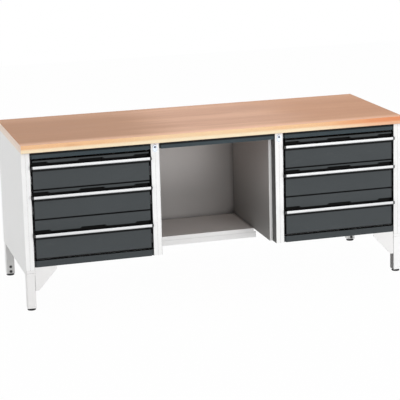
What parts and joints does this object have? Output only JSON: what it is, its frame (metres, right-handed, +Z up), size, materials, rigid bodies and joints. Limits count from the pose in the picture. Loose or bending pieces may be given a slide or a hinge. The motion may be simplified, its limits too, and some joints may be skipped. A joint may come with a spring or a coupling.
{
  "type": "workbench",
  "caption": "Long storage workbench with a thick plywood top, folded steel end frames, lockable drawer cabinets and an open bay with a low half-depth shelf",
  "frame": {"origin": "floor level under the middle of the bench", "axes": "+X along the length to the right seen from the front, +Y to the back, +Z up"},
  "size_m": [2, 0.75, 0.84],
  "materials": {
    "beech_plywood": "satin",
    "paint_light": "satin powder coat",
    "paint_grey": "satin powder coat",
    "paint_dark": "satin powder coat",
    "aluminium": "satin anodised",
    "zinc_steel": "zinc plated",
    "black_plastic": "matt",
    "lock_chrome": "polished"
  },
  "bodies": {
    "frame": {"worktop": "beech_plywood", "worktop_screws": "zinc_steel", "end_frame_left": "paint_light", "end_frame_right": "paint_light", "leg_front_left": "paint_light", "leg_front_right": "paint_light", "leg_rear_left": "paint_light", "leg_rear_right": "paint_light", "leg_braces": "paint_light", "leg_bolts": "black_plastic", "centre_post_left": "paint_light", "centre_post_right": "paint_light", "left_cabinet_outer_side": "paint_light", "left_cabinet_inner_side": "paint_light", "right_cabinet_inner_side": "paint_light", "right_cabinet_outer_side": "paint_light", "cabinet_backs": "paint_light", "cabinet_bases": "paint_light", "bottom_rails": "paint_dark", "bay_side_left": "paint_grey", "bay_side_right": "paint_grey", "bay_back": "paint_grey", "base_shelf": "paint_light", "fascia_left": "paint_dark", "fascia_centre": "paint_dark", "fascia_right": "paint_dark", "runner_outer_rails": "zinc_steel", "lock_housings": "lock_chrome"},
    "foot_front_left_body": {"foot_front_left": "black_plastic"},
    "foot_front_right_body": {"foot_front_right": "black_plastic"},
    "foot_rear_left_body": {"foot_rear_left": "black_plastic"},
    "foot_rear_right_body": {"foot_rear_right": "black_plastic"},
    "lock_left": {"lock_barrel_left": "lock_chrome"},
    "bar_left": {"locking_bar_left": "zinc_steel"},
    "left_top_drawer": {"left_top_drawer_box": "paint_light", "left_top_drawer_front": "paint_dark", "left_top_drawer_handle": "aluminium"},
    "left_top_sliders": {"left_top_runner_sliders": "zinc_steel"},
    "left_middle_drawer": {"left_middle_drawer_box": "paint_light", "left_middle_drawer_front": "paint_dark", "left_middle_drawer_handle": "aluminium"},
    "left_middle_sliders": {"left_middle_runner_sliders": "zinc_steel"},
    "left_bottom_drawer": {"left_bottom_drawer_box": "paint_light", "left_bottom_drawer_front": "paint_dark", "left_bottom_drawer_handle": "aluminium"},
    "left_bottom_sliders": {"left_bottom_runner_sliders": "zinc_steel"},
    "lock_right": {"lock_barrel_right": "lock_chrome"},
    "bar_right": {"locking_bar_right": "zinc_steel"},
    "right_top_drawer": {"right_top_drawer_box": "paint_light", "right_top_drawer_front": "paint_dark", "right_top_drawer_handle": "aluminium"},
    "right_top_sliders": {"right_top_runner_sliders": "zinc_steel"},
    "right_middle_drawer": {"right_middle_drawer_box": "paint_light", "right_middle_drawer_front": "paint_dark", "right_middle_drawer_handle": "aluminium"},
    "right_middle_sliders": {"right_middle_runner_sliders": "zinc_steel"},
    "right_bottom_drawer": {"right_bottom_drawer_box": "paint_light", "right_bottom_drawer_front": "paint_dark", "right_bottom_drawer_handle": "aluminium"},
    "right_bottom_sliders": {"right_bottom_runner_sliders": "zinc_steel"}
  },
  "joints": [
    {"name": "foot_front_left_turn", "type": "hinge", "parent": "frame", "child": "foot_front_left_body", "pos_m": [-0.9765, -0.331, 0.015], "axis": [0, 0, 1], "continuous": true},
    {"name": "foot_front_right_turn", "type": "hinge", "parent": "frame", "child": "foot_front_right_body", "pos_m": [0.9765, -0.331, 0.015], "axis": [0, 0, 1], "continuous": true},
    {"name": "foot_rear_left_turn", "type": "hinge", "parent": "frame", "child": "foot_rear_left_body", "pos_m": [-0.9765, 0.331, 0.015], "axis": [0, 0, 1], "continuous": true},
    {"name": "foot_rear_right_turn", "type": "hinge", "parent": "frame", "child": "foot_rear_right_body", "pos_m": [0.9765, 0.331, 0.015], "axis": [0, 0, 1], "continuous": true},
    {"name": "lock_left_turn", "type": "hinge", "parent": "frame", "child": "lock_left", "pos_m": [-0.32583, -0.343, 0.778], "axis": [0, 1, 0], "range_deg": [0, 90]},
    {"name": "locking_bar_left_slide", "type": "slide", "parent": "frame", "child": "bar_left", "axis": [0, 0, -1], "range_m": [0, 0.008]},
    {"name": "left_top_drawer_slide", "type": "slide", "parent": "frame", "child": "left_top_drawer", "axis": [0, -1, 0], "range_m": [0, 0.6]},
    {"name": "left_top_sliders_slide", "type": "slide", "parent": "frame", "child": "left_top_sliders", "axis": [0, -1, 0], "range_m": [0, 0.3]},
    {"name": "left_middle_drawer_slide", "type": "slide", "parent": "frame", "child": "left_middle_drawer", "axis": [0, -1, 0], "range_m": [0, 0.6]},
    {"name": "left_middle_sliders_slide", "type": "slide", "parent": "frame", "child": "left_middle_sliders", "axis": [0, -1, 0], "range_m": [0, 0.3]},
    {"name": "left_bottom_drawer_slide", "type": "slide", "parent": "frame", "child": "left_bottom_drawer", "axis": [0, -1, 0], "range_m": [0, 0.6]},
    {"name": "left_bottom_sliders_slide", "type": "slide", "parent": "frame", "child": "left_bottom_sliders", "axis": [0, -1, 0], "range_m": [0, 0.3]},
    {"name": "lock_right_turn", "type": "hinge", "parent": "frame", "child": "lock_right", "pos_m": [0.32583, -0.343, 0.778], "axis": [0, 1, 0], "range_deg": [0, 90]},
    {"name": "locking_bar_right_slide", "type": "slide", "parent": "frame", "child": "bar_right", "axis": [0, 0, -1], "range_m": [0, 0.008]},
    {"name": "right_top_drawer_slide", "type": "slide", "parent": "frame", "child": "right_top_drawer", "axis": [0, -1, 0], "range_m": [0, 0.6]},
    {"name": "right_top_sliders_slide", "type": "slide", "parent": "frame", "child": "right_top_sliders", "axis": [0, -1, 0], "range_m": [0, 0.3]},
    {"name": "right_middle_drawer_slide", "type": "slide", "parent": "frame", "child": "right_middle_drawer", "axis": [0, -1, 0], "range_m": [0, 0.6]},
    {"name": "right_middle_sliders_slide", "type": "slide", "parent": "frame", "child": "right_middle_sliders", "axis": [0, -1, 0], "range_m": [0, 0.3]},
    {"name": "right_bottom_drawer_slide", "type": "slide", "parent": "frame", "child": "right_bottom_drawer", "axis": [0, -1, 0], "range_m": [0, 0.6]},
    {"name": "right_bottom_sliders_slide", "type": "slide", "parent": "frame", "child": "right_bottom_sliders", "axis": [0, -1, 0], "range_m": [0, 0.3]}
  ],
  "couplings": [
    {"joint": "lock_left_turn", "follows": "locking_bar_left_slide", "rad_per_m": 196.35},
    {"joint": "left_top_sliders_slide", "follows": "left_top_drawer_slide", "ratio": 0.5},
    {"joint": "left_middle_sliders_slide", "follows": "left_middle_drawer_slide", "ratio": 0.5},
    {"joint": "left_bottom_sliders_slide", "follows": "left_bottom_drawer_slide", "ratio": 0.5},
    {"joint": "lock_right_turn", "follows": "locking_bar_right_slide", "rad_per_m": 196.35},
    {"joint": "right_top_sliders_slide", "follows": "right_top_drawer_slide", "ratio": 0.5},
    {"joint": "right_middle_sliders_slide", "follows": "right_middle_drawer_slide", "ratio": 0.5},
    {"joint": "right_bottom_sliders_slide", "follows": "right_bottom_drawer_slide", "ratio": 0.5}
  ]
}
